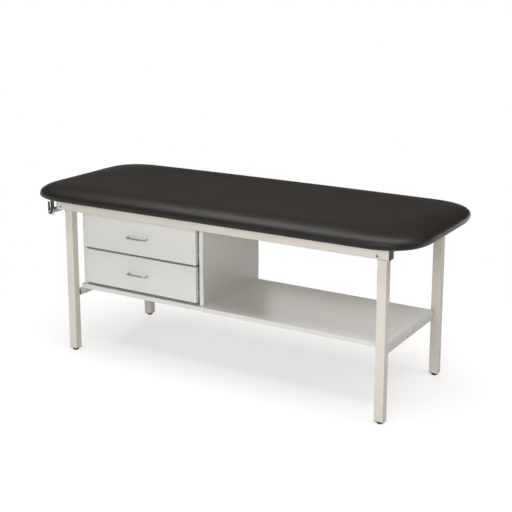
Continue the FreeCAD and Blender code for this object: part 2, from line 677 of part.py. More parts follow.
def drawer(name, bottom):
    # one drawer, from the height of the lower edge of its front
    base = f"({bottom} + box_lift)"
    pull_z = f"({bottom} + front_height / 2)"
    front_half = f"({inside_half} - front_side_gap)"

    front = new_body(f"{name}_drawer_front", cabinet_x, front_face, bottom)
    outline = new_sketch(front, "XZ_Plane")
    rectangle(outline, f"0 - {front_half}", front_half, "0", "front_height")
    pad(front, outline, "front_thickness", reverse=True)
    round_edges(front, "edge_radius", lambda edge: edge.BoundBox.YMax < NEAR)
    holes = new_sketch(front, "XZ_Plane")
    for side in (-1, 1):
        circle(holes, f"{side} * pull_spacing / 2", "front_height / 2", "pull_screw + screw_clearance")
    pocket(front, holes, middle=True)

    for hand, side in (("left", -1), ("right", 1)):
        wall = new_body(f"{name}_drawer_{hand}_side", f"{cabinet_x} + {side} * ({box_half} - box_wall / 2)",
                        box_front, base)
        outline = new_sketch(wall, "YZ_Plane")
        rectangle(outline, "0", "box_depth", "0", "box_height")
        pad(wall, outline, "box_wall", middle=True)
        groove = new_sketch(wall, "YZ_Plane", f"{-side} * (box_wall / 2 - groove_depth)")
        rectangle(groove, "box_wall - groove_depth", "box_depth - box_wall + groove_depth",
                  "groove_lift", "groove_lift + bottom_thickness + groove_clearance")
        pocket(wall, groove, "groove_depth", reverse=side < 0)

    inner_half = f"({box_half} - box_wall)"
    for part, place, inward in (("box_front", "box_wall / 2", 1), ("box_back", "box_depth - box_wall / 2", -1)):
        wall = new_body(f"{name}_drawer_{part}", cabinet_x, f"{box_front} + {place}", base)
        outline = new_sketch(wall, "XZ_Plane")
        rectangle(outline, f"0 - {inner_half}", inner_half, "0", "box_height")
        pad(wall, outline, "box_wall", middle=True)
        groove = new_sketch(wall, "XZ_Plane", f"{-inward} * (box_wall / 2 - groove_depth)")
        rectangle(groove, f"0 - {inner_half}", inner_half,
                  "groove_lift", "groove_lift + bottom_thickness + groove_clearance")
        pocket(wall, groove, "groove_depth", reverse=inward < 0)
        if inward > 0:
            holes = new_sketch(wall, "XZ_Plane")
            for side in (-1, 1):
                circle(holes, f"{side} * pull_spacing / 2", "front_height / 2 - box_lift",
                       "pull_screw + screw_clearance")
            pocket(wall, holes, middle=True)

    floor = new_body(f"{name}_drawer_bottom", cabinet_x, f"{box_front} + box_depth / 2",
                     f"{base} + groove_lift")
    outline = new_sketch(floor, "XY_Plane")
    floor_x = f"({inner_half} + groove_depth - groove_clearance)"
    floor_y = "(box_depth / 2 - box_wall + groove_depth - groove_clearance)"
    rectangle(outline, f"0 - {floor_x}", floor_x, f"0 - {floor_y}", floor_y)
    pad(floor, outline, "bottom_thickness")

    group(f"{name}_drawer_pull", [placed(pull.Shape, cabinet_x, front_face, pull_z)])
    group(f"{name}_pull_screws", [placed(pull_screw, f"{cabinet_x} + {side} * pull_spacing / 2",
                                         f"{box_front} + box_wall", pull_z, BACK) for side in (-1, 1)])
    group(f"{name}_cabinet_runners", both_sides(channel, runner_start, base))
    group(f"{name}_drawer_runners", both_sides(strip, box_front, base))
    wheel_z = f"{base} + {roller_z}"
    wheel_x = f"{inside_left} + {roller_start}"
    group(f"{name}_cabinet_rollers", both_sides(wheel, cabinet_roller_y, wheel_z, wheel_x))
    group(f"{name}_drawer_rollers", both_sides(wheel, drawer_roller_y, wheel_z, wheel_x))


lower_bottom = f"({shelf_top} + front_lift)"
drawer("lower", lower_bottom)
drawer("upper", f"({lower_bottom} + front_height + front_gap)")

# board under the pad
board = new_body("top_board", "0", "0", rail_top)
outline = new_sketch(board, "XY_Plane")
rounded_rectangle(outline, "top_length / 2 - board_inset", "top_width / 2 - board_inset",
                  "top_corner - board_inset")
pad(board, outline, "board_thickness")
pilots = new_sketch(board, "XY_Plane")
for share in RAIL_SCREWS:
    for side in (-1, 1):
        circle(pilots, f"{share} * rail_length", f"{side} * {rail_y}", "screw_radius + screw_clearance")
hook_screws = [(f"({hook_x} + {shank_x})", f"{side} * hook_spread / 2 + {share} * flange_width")
               for side in (-1, 1) for share in FLANGE_SCREWS]
for x, y in hook_screws:
    circle(pilots, x, y, "screw_radius + screw_clearance")
pocket(board, pilots, "screw_bite + pilot_spare", reverse=True)

screw = fastener("top_screw", "screw_head", "screw_radius", "rail_height + screw_bite")
group("top_screws", [placed(screw, f"{share} * rail_length", f"{side} * {rail_y}", rail_bottom, DOWN)
                     for share in RAIL_SCREWS for side in (-1, 1)])

# pad: rings up an oval side, from the tucked lower edge over the top roll to the crown
cushion = new_body("cushion", "0", "0", rail_top)
widest = "(top_thickness - edge_height)"
ring_places = []
for angle in TUCK_ANGLES:
    ring_places.append((f"edge_tuck * (1 - cos({angle} deg))", f"{widest} * (1 - sin({angle} deg))"))
for angle in ROLL_ANGLES:
    ring_places.append((f"edge_roll * (1 - cos({angle} deg))", f"{widest} + edge_height * sin({angle} deg)"))
ring_places.append(("crown_inset", "top_thickness + crown"))
rings = []
for inset, lift in ring_places:
    ring = new_sketch(cushion, "XY_Plane", lift)
    rounded_rectangle(ring, f"top_length / 2 - {inset}", f"top_width / 2 - {inset}", f"top_corner - {inset}")
    rings.append(ring)
loft = cushion.newObject("PartDesign::AdditiveLoft", "loft")
loft.Profile = rings[0]
loft.Sections = rings[1:]
loft.Ruled = True
recess = new_sketch(cushion, "XY_Plane")
recess_inset = "(board_inset - board_clearance)"
rounded_rectangle(recess, f"top_length / 2 - {recess_inset}", f"top_width / 2 - {recess_inset}",
                  f"top_corner - {recess_inset}")
pocket(cushion, recess, "board_thickness + board_clearance", reverse=True)

# hooks for a paper roll under the head end, and the rod that turns in them
hook_top = "(hook_drop - hook_flange)"
for name, side in (("front_paper_hook", -1), ("back_paper_hook", 1)):
    hook = new_body(name, hook_x, f"{side} * hook_spread / 2", hook_z)
    outline = new_sketch(hook, "XZ_Plane")
    floor_z = f"0 - {hook_reach}"
    polygon(outline, [(f"0 - {hook_reach}", "hook_tip"), (f"0 - {hook_reach} - hook_tip_width", "hook_tip"),
                      (f"0 - {hook_reach} - hook_tip_width", floor_z),
                      ("0 - hook_tip_width", f"{floor_z} - hook_web"),
                      (hook_reach, f"{floor_z} - hook_web"), (f"{hook_reach} + shank_width", "hook_shoulder"),
                      (f"{hook_reach} + shank_top_width", hook_top), (hook_reach, hook_top),
                      (hook_reach, floor_z), (f"0 - {hook_reach}", floor_z)])
    pad(hook, outline, "hook_thickness", middle=True)
    corner = value(hook_reach)
    cradle_z = -corner

    def cradle(edge):
        box = edge.BoundBox
        upright = box.XLength < NEAR and box.ZLength < NEAR
        return upright and abs(box.ZMin - cradle_z) < NEAR and abs(abs(box.XMin) - corner) < NEAR

    round_edges(hook, f"{hook_reach} - cradle_flat", cradle)
    under = value("hook_web") + corner

    def belly(edge):
        box = edge.BoundBox
        upright = box.XLength < NEAR and box.ZLength < NEAR
        left = abs(box.XMin + corner + value("hook_tip_width")) < NEAR and abs(box.ZMin - cradle_z) < NEAR
        return upright and (left or abs(box.ZMin + under) < NEAR)

    round_edges(hook, "hook_round", belly)
    foot = new_sketch(hook, "XY_Plane", hook_top)
    rectangle(foot, f"{shank_x} - flange_length / 2", f"{shank_x} + flange_length / 2",
              "0 - flange_width / 2", "flange_width / 2")
    pad(hook, foot, "hook_flange")
    holes = new_sketch(hook, "XY_Plane", hook_top)
    for share in FLANGE_SCREWS:
        circle(holes, shank_x, f"{share} * flange_width", "screw_radius + screw_clearance")
    pocket(hook, holes, "hook_flange", reverse=True)

screw = fastener("hook_screw", "screw_head", "screw_radius", "hook_flange + screw_bite")
group("hook_screws", [placed(screw, x, y, f"{rail_top} - hook_flange", DOWN) for x, y in hook_screws])

rod = new_body("paper_rod", hook_x, "0", hook_z)
profile = new_sketch(rod, "YZ_Plane")
hook_inner = "(hook_spread / 2 - hook_thickness / 2 - disc_gap)"
rod_end = "hook_spread / 2 + hook_thickness"
polygon(profile, [(f"0 - ({rod_end})", "0"), (rod_end, "0"), (rod_end, "spindle_radius"),
                  (hook_inner, "spindle_radius"), (hook_inner, "disc_radius"),
                  (f"{hook_inner} - disc_thickness", "disc_radius"),
                  (f"{hook_inner} - disc_thickness", "rod_radius"),
                  (f"0 - {hook_inner} + disc_thickness", "rod_radius"),
                  (f"0 - {hook_inner} + disc_thickness", "disc_radius"), (f"0 - {hook_inner}", "disc_radius"),
                  (f"0 - {hook_inner}", "spindle_radius"), (f"0 - ({rod_end})", "spindle_radius")])
revolve(rod, profile, "H_Axis")

doc.recompute()

# every object is sound and every cut removed something before any file is written
for item in doc.Objects:
    if "Invalid" in item.State or "Error" in item.State:
        raise RuntimeError(f"{item.Name} failed: {item.State}")
    if item.TypeId == "PartDesign::Pocket" and item.AddSubShape.Volume < 1:
        raise RuntimeError(f"{item.Name} cuts nothing")
for piece in pieces:
    shape = piece.Shape
    if shape.isNull() or not shape.isValid() or not shape.Solids:
        raise RuntimeError(f"{piece.Label} has no sound solid")
for piece in pieces:
    piece.Shape.exportStep(f"parts/{piece.Label}.step")
print(len(pieces), "pieces")
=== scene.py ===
import json
import math

import bmesh
import bpy
import numpy as np
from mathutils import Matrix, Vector


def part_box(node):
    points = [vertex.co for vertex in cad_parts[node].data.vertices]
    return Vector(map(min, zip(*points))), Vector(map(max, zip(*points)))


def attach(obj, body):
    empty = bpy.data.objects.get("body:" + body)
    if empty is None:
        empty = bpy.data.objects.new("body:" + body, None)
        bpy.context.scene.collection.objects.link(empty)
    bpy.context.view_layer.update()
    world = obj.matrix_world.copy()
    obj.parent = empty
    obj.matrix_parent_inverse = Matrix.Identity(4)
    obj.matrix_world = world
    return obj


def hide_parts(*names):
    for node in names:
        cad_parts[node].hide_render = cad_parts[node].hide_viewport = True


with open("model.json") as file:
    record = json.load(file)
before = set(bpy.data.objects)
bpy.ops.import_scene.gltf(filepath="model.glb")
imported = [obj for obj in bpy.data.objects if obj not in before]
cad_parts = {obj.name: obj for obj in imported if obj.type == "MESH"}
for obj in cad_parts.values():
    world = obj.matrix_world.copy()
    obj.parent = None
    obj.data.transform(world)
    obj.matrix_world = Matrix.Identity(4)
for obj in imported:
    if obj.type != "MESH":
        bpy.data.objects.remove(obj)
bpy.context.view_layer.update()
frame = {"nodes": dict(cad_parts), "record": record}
cadNodes = frame["nodes"]
scene = bpy.context.scene
print("frame loaded,", len(cadNodes), "nodes")


# small helpers for node trees
def addNode(tree, kind, inputs=None, **settings):
    node = tree.nodes.new(kind)
    for name, value in settings.items():
        setattr(node, name, value)
    for name, value in (inputs or {}).items():
        if isinstance(value, bpy.types.NodeSocket):
            tree.links.new(value, node.inputs[name])
        else:
            node.inputs[name].default_value = value
    return node


def newMaterial(name):
    material = bpy.data.materials.new(name)
    material.use_nodes = True
    tree = material.node_tree
    tree.nodes.clear()
    shader = addNode(tree, "ShaderNodeBsdfPrincipled")
    addNode(tree, "ShaderNodeOutputMaterial", {"Surface": shader.outputs[0]})
    place = addNode(tree, "ShaderNodeTexCoord").outputs["Object"]
    return material, tree, shader, place


def noiseAt(tree, place, scale, detail=2.0, roughness=0.5, stretch=None):
    if stretch:
        place = addNode(tree, "ShaderNodeMapping", {"Vector": place, "Scale": stretch}).outputs[0]
    inputs = {"Vector": place, "Scale": scale, "Detail": detail, "Roughness": roughness}
    return addNode(tree, "ShaderNodeTexNoise", inputs).outputs[0]


def remap(tree, value, low, high, fromLow=0.35, fromHigh=0.65):
    inputs = {"Value": value, "From Min": fromLow, "From Max": fromHigh, "To Min": low, "To Max": high}
    return addNode(tree, "ShaderNodeMapRange", inputs).outputs[0]


def blendColour(tree, factor, first, second):
    node = addNode(tree, "ShaderNodeMix", data_type="RGBA")
    tree.links.new(factor, node.inputs[0])
    for socket, value in ((node.inputs[6], first), (node.inputs[7], second)):
        if isinstance(value, bpy.types.NodeSocket):
            tree.links.new(value, socket)
        else:
            socket.default_value = (*value, 1)
    return node.outputs[2]


def addBump(tree, shader, height, depth, strength=1.0):
    inputs = {"Height": height, "Distance": depth, "Strength": strength}
    tree.links.new(addNode(tree, "ShaderNodeBump", inputs).outputs[0], shader.inputs["Normal"])


def mathNode(tree, operation, first, second=0.0):
    return addNode(tree, "ShaderNodeMath", {0: first, 1: second}, operation=operation).outputs[0]


# beige powder coat: a fine orange peel and a slow drift of tone
paintSettings = {"light": (0.67, 0.637, 0.58), "dark": (0.625, 0.591, 0.535), "roughness": (0.36, 0.47),
                 "peelScale": 420, "peelDepth": 0.00006, "driftScale": 3.5, "specular": 0.42}


def makePaint():
    material, tree, shader, place = newMaterial("beigePowderCoat")
    s = paintSettings
    drift = noiseAt(tree, place, s["driftScale"], 3)
    peel = noiseAt(tree, place, s["peelScale"], 1.5)
    colour = blendColour(tree, remap(tree, drift, 0, 1), s["light"], s["dark"])
    tree.links.new(colour, shader.inputs["Base Color"])
    tree.links.new(remap(tree, peel, *s["roughness"]), shader.inputs["Roughness"])
    shader.inputs["Specular IOR Level"].default_value = s["specular"]
    addBump(tree, shader, peel, s["peelDepth"])
    return material


# light grey laminate: a close speckle under a dry satin press texture
laminateSettings = {"light": (0.70, 0.705, 0.675), "dark": (0.655, 0.657, 0.625), "speckleScale": 900,
                    "driftScale": 2.2, "roughness": (0.24, 0.36), "grainDepth": 0.00003, "specular": 0.5}


def makeLaminate():
    material, tree, shader, place = newMaterial("greyLaminate")
    s = laminateSettings
    speckle = noiseAt(tree, place, s["speckleScale"], 2)
    drift = noiseAt(tree, place, s["driftScale"], 2)
    factor = mathNode(tree, "MULTIPLY", remap(tree, speckle, 0.15, 0.85), remap(tree, drift, 0.6, 1))
    tree.links.new(blendColour(tree, factor, s["light"], s["dark"]), shader.inputs["Base Color"])
    tree.links.new(remap(tree, speckle, *s["roughness"]), shader.inputs["Roughness"])
    shader.inputs["Specular IOR Level"].default_value = s["specular"]
    addBump(tree, shader, speckle, s["grainDepth"])
    return material


# edge tape: the laminate's colour with a smoother face and a run of fine scuffs
tapeSettings = {"light": (0.69, 0.69, 0.665), "dark": (0.62, 0.62, 0.595), "roughness": (0.32, 0.44),
                "scuffScale": 60, "scuffRange": (0.45, 0.75), "stretch": (1, 14, 14)}


def makeTape():
    material, tree, shader, place = newMaterial("greyEdgeTape")
    s = tapeSettings
    scuff = noiseAt(tree, place, s["scuffScale"], 4, stretch=s["stretch"])
    worn = remap(tree, scuff, 0, 1, *s["scuffRange"])
    tree.links.new(blendColour(tree, worn, s["light"], s["dark"]), shader.inputs["Base Color"])
    tree.links.new(remap(tree, scuff, *s["roughness"]), shader.inputs["Roughness"])
    return material


# upholstery vinyl: pebbled grain, warped by fine creases, and a faint drift of tone
vinylSettings = {"light": (0.0135, 0.0115, 0.0095), "dark": (0.0085, 0.0072, 0.006),
                 "roughness": (0.42, 0.46), "specular": 0.22, "driftScale": 5, "creaseScale": 240,
                 "creaseShift": 0.0012, "creaseShare": 0.5, "pebbleScale": 620, "pebbleBlend": 0.6,
                 "pebbleRange": (0.1, 0.7), "grainDepth": 0.00009, "grainStrength": 0.6}


def makeVinyl():
    material, tree, shader, place = newMaterial("blackVinyl")
    s = vinylSettings
    warp = addNode(tree, "ShaderNodeTexNoise", {"Vector": place, "Scale": s["creaseScale"], "Detail": 2})
    inputs = {0: warp.outputs["Color"], "Scale": s["creaseShift"]}
    bent = addNode(tree, "ShaderNodeVectorMath", inputs, operation="SCALE")
    moved = addNode(tree, "ShaderNodeVectorMath", {0: place, 1: bent.outputs[0]}, operation="ADD").outputs[0]
    inputs = {"Vector": moved, "Scale": s["pebbleScale"], "Smoothness": s["pebbleBlend"]}
    pebble = addNode(tree, "ShaderNodeTexVoronoi", inputs, feature="SMOOTH_F1").outputs["Distance"]
    drift = noiseAt(tree, place, s["driftScale"], 3)
    grain = mathNode(tree, "MULTIPLY_ADD", warp.outputs[0], s["creaseShare"])
    tree.links.new(pebble, grain.node.inputs[2])
    pits = remap(tree, pebble, 0, 1, *s["pebbleRange"])
    tone = mathNode(tree, "MULTIPLY", pits, remap(tree, drift, 0.5, 1))
    tree.links.new(blendColour(tree, tone, s["light"], s["dark"]), shader.inputs["Base Color"])
    tree.links.new(remap(tree, drift, *s["roughness"]), shader.inputs["Roughness"])
    shader.inputs["Specular IOR Level"].default_value = s["specular"]
    addBump(tree, shader, grain, s["grainDepth"], s["grainStrength"])
    return material


# brushed or plated metal, with fine lines along one axis
def makeMetal(name, light, dark, roughness, lineScale, stretch, lineDepth):
    material, tree, shader, place = newMaterial(name)
    lines = noiseAt(tree, place, lineScale, 3, 0.6, stretch)
    tree.links.new(blendColour(tree, remap(tree, lines, 0, 1), light, dark), shader.inputs["Base Color"])
    tree.links.new(remap(tree, lines, *roughness), shader.inputs["Roughness"])
    shader.inputs["Metallic"].default_value = 1.0
    addBump(tree, shader, lines, lineDepth)
    return material


metalSettings = {
    "satin_nickel": {"name": "satinNickel", "light": (0.58, 0.57, 0.53), "dark": (0.44, 0.43, 0.40),
                     "roughness": (0.26, 0.40), "lineScale": 260, "stretch": (0.12, 5, 5),
                     "lineDepth": 0.00002},
    "zinc_steel": {"name": "zincPlate", "light": (0.60, 0.60, 0.58), "dark": (0.40, 0.41, 0.42),
                   "roughness": (0.28, 0.46), "lineScale": 500, "stretch": (1, 1, 1), "lineDepth": 0.00002},
}


# moulded or enamelled finish, with a fine surface texture
def makeMoulded(name, light, dark, roughness, grainScale, grainDepth, gloss):
    material, tree, shader, place = newMaterial(name)
    grain = noiseAt(tree, place, grainScale, 3)
    tree.links.new(blendColour(tree, remap(tree, grain, 0, 1), light, dark), shader.inputs["Base Color"])
    tree.links.new(remap(tree, grain, *roughness), shader.inputs["Roughness"])
    shader.inputs["Specular IOR Level"].default_value = gloss
    addBump(tree, shader, grain, grainDepth)
    return material


mouldedSettings = {
    "black_plastic": {"name": "blackPlastic", "light": (0.017, 0.017, 0.018), "dark": (0.010, 0.010, 0.011),
                      "roughness": (0.42, 0.58), "grainScale": 700, "grainDepth": 0.00005, "gloss": 0.35},
    "runner_enamel": {"name": "runnerEnamel", "light": (0.78, 0.78, 0.76), "dark": (0.70, 0.70, 0.68),
                      "roughness": (0.30, 0.42), "grainScale": 350, "grainDepth": 0.00003, "gloss": 0.5},
    "white_nylon": {"name": "whiteNylon", "light": (0.82, 0.81, 0.78), "dark": (0.74, 0.73, 0.69),
                    "roughness": (0.35, 0.50), "grainScale": 500, "grainDepth": 0.00003, "gloss": 0.4},
    "drawer_board": {"name": "drawerMelamine", "light": (0.74, 0.735, 0.70), "dark": (0.68, 0.672, 0.635),
                     "roughness": (0.40, 0.55), "grainScale": 800, "grainDepth": 0.00003, "gloss": 0.4},
    "hook_enamel": {"name": "hookEnamel", "light": (0.020, 0.023, 0.043), "dark": (0.012, 0.014, 0.027),
                    "roughness": (0.16, 0.28), "grainScale": 260, "grainDepth": 0.00004, "gloss": 0.6},
    "pale_plastic": {"name": "palePlastic", "light": (0.76, 0.72, 0.68), "dark": (0.66, 0.61, 0.57),
                     "roughness": (0.35, 0.48), "grainScale": 420, "grainDepth": 0.00003, "gloss": 0.45},
}


# plywood: long grain on its faces
plywoodSettings = {"light": (0.56, 0.40, 0.24), "dark": (0.36, 0.23, 0.12), "roughness": (0.55, 0.75),
                   "grainScale": 9, "stretch": (0.8, 16, 16), "fibreScale": 240, "fibreDepth": 0.00012}


def makePlywood():
    material, tree, shader, place = newMaterial("plywoodGrain")
    s = plywoodSettings
    grain = noiseAt(tree, place, s["grainScale"], 5, 0.6, s["stretch"])
    fibre = noiseAt(tree, place, s["fibreScale"], 2, 0.6, s["stretch"])
    colour = blendColour(tree, remap(tree, grain, 0, 1, 0.3, 0.7), s["light"], s["dark"])
    tree.links.new(colour, shader.inputs["Base Color"])
    tree.links.new(remap(tree, fibre, *s["roughness"]), shader.inputs["Roughness"])
    addBump(tree, shader, fibre, s["fibreDepth"])
    return material


finishes = {"frame_paint": makePaint(), "grey_laminate": makeLaminate(), "black_vinyl": makeVinyl(),
            "plywood": makePlywood()}
for slotName, settings in metalSettings.items():
    finishes[slotName] = makeMetal(**settings)
for slotName, settings in mouldedSettings.items():
    finishes[slotName] = makeMoulded(**settings)
edgeTape = makeTape()
for subpart in frame["record"]["subparts"]:
    for materialSlot in cadNodes[subpart["node"]].material_slots:
        materialSlot.material = finishes[subpart["material_slot"]]
print("finishes on", len(cadNodes), "nodes")


def newPiece(name, mesh, material=None, body=None):
    piece = bpy.data.objects.new(name, mesh)
    scene.collection.objects.link(piece)
    if material:
        mesh.materials.clear()
        mesh.materials.append(material)
    mesh.polygons.foreach_set("use_smooth", [True] * len(mesh.polygons))
    if body:
        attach(piece, body)
    return piece


def bakedMesh(piece):
    # the evaluated shape as a plain mesh
    graph = bpy.context.evaluated_depsgraph_get()
    return bpy.data.meshes.new_from_object(piece.evaluated_get(graph))


# padded top: vinyl over foam, as loops up its side and a grid across its crown
padSettings = {"corner": 0.23, "cornerPower": 2.8, "tuck": 0.022, "lowSide": 0.0195, "rollReach": 0.105,
               "rollPower": 3.2, "height": 0.057, "rim": 0.0277, "recess": 0.013,
               "tuckDegrees": (90, 72, 54, 36, 18),
               "rollDegrees": (0, 7, 14, 21, 28, 35, 42, 49, 56, 63, 70, 76, 81, 85, 88, 90),
               "longSteps": 148, "shortSteps": 40, "cornerSteps": 20}
coverSettings = {"drawIn": 0.0035, "heldBelow": 0.004, "boardSlack": 0.001, "quality": 4, "mass": 0.4,
                 "stiffness": 18, "bending": 8.0, "pressure": 0.25, "lastFrame": 20, "farthest": 0.006,
                 "easing": 12}


def padLoop(inset, lift):
    # one closed loop round the pad, from the corner at the back of the foot end
    s = padSettings
    low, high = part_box("cushion")
    middleX, middleY = high.x - s["corner"], high.y - s["corner"]
    radius, power = s["corner"] - inset, s["cornerPower"]
    points = []
    for turn, (signX, signY) in enumerate(((1, 1), (-1, 1), (-1, -1), (1, -1))):
        for step in range(s["cornerSteps"]):
            angle = math.pi / 2 * (turn + step / s["cornerSteps"])
            across, along = math.cos(angle), math.sin(angle)
            reach = radius * (abs(across) ** power + abs(along) ** power) ** (-1 / power)
            points.append((signX * middleX + reach * across, signY * middleY + reach * along))
        angle = math.pi / 2 * (turn + 1)
        outward = Vector((math.cos(angle), math.sin(angle)))
        start = Vector((signX * middleX, signY * middleY)) + radius * outward
        count = s["shortSteps"] if turn % 2 else s["longSteps"]
        length = 2 * (middleY if turn % 2 else middleX)
        run = Vector((-math.sin(angle), math.cos(angle))) * length
        points += [tuple(start + run * step / count) for step in range(count)]
    return [Vector((x, y, low.z + lift)) for x, y in points]


def padProfile():
    # insets and lifts from the board's recess round the tucked edge and over the roll
    s = padSettings
    rings = [(s["rim"], s["recess"]), (s["rim"], 0), ((s["rim"] + s["tuck"]) / 2, 0)]
    for degrees in s["tuckDegrees"]:
        angle = math.radians(degrees)
        rings.append((s["tuck"] * (1 - math.cos(angle)), s["lowSide"] * (1 - math.sin(angle))))
    for degrees in s["rollDegrees"]:
        angle = math.radians(degrees)
        inset = s["rollReach"] * (1 - max(math.cos(angle), 0) ** (2 / s["rollPower"]))
        rings.append((inset, s["lowSide"] + (s["height"] - s["lowSide"]) * math.sin(angle)))
    return rings


def padMesh(name):
    s = padSettings
    loops = [padLoop(inset, lift) for inset, lift in padProfile()]
    count = len(loops[0])
    points = [point for loop in loops for point in loop]
    faces = []
    for k in range(len(loops) - 1):
        for j in range(count):
            after = (j + 1) % count
            faces.append((k * count + j, k * count + after, (k + 1) * count + after, (k + 1) * count + j))
    # the crown: a grid blended between the four sides of the last loop
    last = (len(loops) - 1) * count
    half = s["cornerSteps"] // 2
    longSide, shortSide = s["longSteps"] + s["cornerSteps"], s["shortSteps"] + s["cornerSteps"]
    frontLeft = s["cornerSteps"] * 2 + s["longSteps"] + s["shortSteps"] + half
    bottom = [last + (frontLeft + i) % count for i in range(longSide + 1)]
    right = [last + (frontLeft + longSide + j) % count for j in range(shortSide + 1)]
    top = [last + (frontLeft - shortSide - i) % count for i in range(longSide + 1)]
    left = [last + (frontLeft - j) % count for j in range(shortSide + 1)]
    grid = {}
    for i in range(longSide + 1):
        for j in range(shortSide + 1):
            edge = (bottom[i] if j == 0 else top[i] if j == shortSide else left[j] if i == 0
                    else right[j] if i == longSide else None)
            if edge is None:
                u, v = i / longSide, j / shortSide
                place = (points[bottom[i]] * (1 - v) + points[top[i]] * v
                         + points[left[j]] * (1 - u) + points[right[j]] * u
                         - points[bottom[0]] * (1 - u) * (1 - v) - points[bottom[-1]] * u * (1 - v)
                         - points[top[0]] * (1 - u) * v - points[top[-1]] * u * v)
                edge = len(points)
                points.append(place)
            grid[i, j] = edge
    for i in range(longSide):
        for j in range(shortSide):
            faces.append((grid[i, j], grid[i + 1, j], grid[i + 1, j + 1], grid[i, j + 1]))
    mesh = bpy.data.meshes.new(name)
    mesh.from_pydata([tuple(point) for point in points], [], faces)
    return mesh


def inflate(piece):
    # drawn in a little, then blown up as cloth that is held along its stapled rim
    s = coverSettings
    mesh = piece.data
    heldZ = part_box("cushion")[0].z + s["heldBelow"]
    start = readPoints(mesh)
    normals = np.array([v.normal for v in mesh.vertices])
    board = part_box("top_board")[1]
    inner = np.abs(start[:, 0]) < board.x + s["boardSlack"]
    inner &= np.abs(start[:, 1]) < board.y + s["boardSlack"]
    held = (start[:, 2] < heldZ) | (inner & (start[:, 2] < heldZ + padSettings["recess"]))
    drawn = start - normals * s["drawIn"] * (~held)[:, None]
    mesh.vertices.foreach_set("co", drawn.ravel())
    mesh.update()
    group = piece.vertex_groups.new(name="held")
    group.add([int(i) for i in np.flatnonzero(held)], 1.0, "REPLACE")
    cloth = piece.modifiers.new("cover", "CLOTH")
    cloth.settings.quality = s["quality"]
    cloth.settings.mass = s["mass"]
    for field in ("tension_stiffness", "compression_stiffness", "shear_stiffness"):
        setattr(cloth.settings, field, s["stiffness"])
    cloth.settings.bending_stiffness = s["bending"]
    cloth.settings.use_pressure = True
    cloth.settings.uniform_pressure_force = s["pressure"]
    cloth.settings.vertex_group_mass = "held"
    cloth.settings.effector_weights.gravity = 0
    cloth.point_cache.frame_end = s["lastFrame"]
    for number in range(1, s["lastFrame"] + 1):
        scene.frame_set(number)
    step = readPoints(bakedMesh(piece)) - drawn
    piece.modifiers.clear()
    length = np.linalg.norm(step, axis=1, keepdims=True)
    step *= np.minimum(1, s["farthest"] / np.maximum(length, 1e-9))
    step = easedStep(mesh, step, s["easing"])
    step[held] = 0
    mesh.vertices.foreach_set("co", (drawn + step).ravel())
    mesh.update()
    scene.frame_set(1)
    print("pad swelled by up to", round(float(length.max()) * 1000, 1), "mm before the cap")


def easedStep(mesh, step, rounds):
    # each point's move is shared with its neighbours, so that no single face stands proud
    ends = np.zeros(len(mesh.edges) * 2, dtype=int)
    mesh.edges.foreach_get("vertices", ends)
    first, second = ends.reshape(-1, 2).T
    count = np.bincount(ends, minlength=len(step))[:, None]
    for _ in range(rounds):
        total = np.zeros_like(step)
        np.add.at(total, first, step[second])
        np.add.at(total, second, step[first])
        step = (step + total / count) / 2
    return step


def readPoints(mesh):
    points = np.zeros(len(mesh.vertices) * 3)
    mesh.vertices.foreach_get("co", points)
    return points.reshape(-1, 3)


def closeBelow(mesh):
    # the recess over the board gets its flat lid
    shell = bmesh.new()
    shell.from_mesh(mesh)
    rim = [edge for edge in shell.edges if edge.is_boundary]
    lid = bmesh.ops.holes_fill(shell, edges=rim, sides=0)["faces"]
    bmesh.ops.triangulate(shell, faces=lid)
    bmesh.ops.recalc_face_normals(shell, faces=shell.faces)
    shell.to_mesh(mesh)
    shell.free()
    mesh.update()


def makePad():
    pad = newPiece("paddedTop", padMesh("paddedTop"))
    inflate(pad)
    rounding = pad.modifiers.new("rounding", "SUBSURF")
    rounding.levels = 1
    rounding.render_levels = 1
    pad.data = bakedMesh(pad)
    pad.modifiers.clear()
    points = readPoints(pad.data)
    for axis in (0, 1):
        points[:, axis] *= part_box("cushion")[1][axis] / np.abs(points[:, axis]).max()
    pad.data.vertices.foreach_set("co", points.ravel())
    closeBelow(pad.data)
    pad.data.materials.clear()
    pad.data.materials.append(finishes["black_vinyl"])
    pad.data.polygons.foreach_set("use_smooth", [True] * len(pad.data.polygons))
    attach(pad, "frame")
    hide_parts("cushion")
    print("padded top,", len(pad.data.polygons), "faces")
    return pad


makePad()


# geometry node trees: named inputs, a baked plain mesh at the end
def newNodes(name, inputs):
    tree = bpy.data.node_groups.new(name, "GeometryNodeTree")
    tree.interface.new_socket("Geometry", in_out="INPUT", socket_type="NodeSocketGeometry")
    tree.interface.new_socket("Geometry", in_out="OUTPUT", socket_type="NodeSocketGeometry")
    for label, kind in inputs.items():
        tree.interface.new_socket(label, in_out="INPUT", socket_type="NodeSocket" + kind)
    return tree, addNode(tree, "NodeGroupInput").outputs, addNode(tree, "NodeGroupOutput").inputs


def finishNodes(tree, instances, finish, made, keep=None):
    # every face takes the finish, apart from those that already have the one to keep
    plain = addNode(tree, "GeometryNodeRealizeInstances", {"Geometry": instances}).outputs[0]
    inputs = {"Geometry": plain, "Material": finish}
    if keep:
        kept = addNode(tree, "GeometryNodeMaterialSelection", {"Material": keep}).outputs[0]
        inputs["Selection"] = addNode(tree, "FunctionNodeBooleanMath", {0: kept}, operation="NOT").outputs[0]
    tree.links.new(addNode(tree, "GeometryNodeSetMaterial", inputs).outputs[0], made["Geometry"])


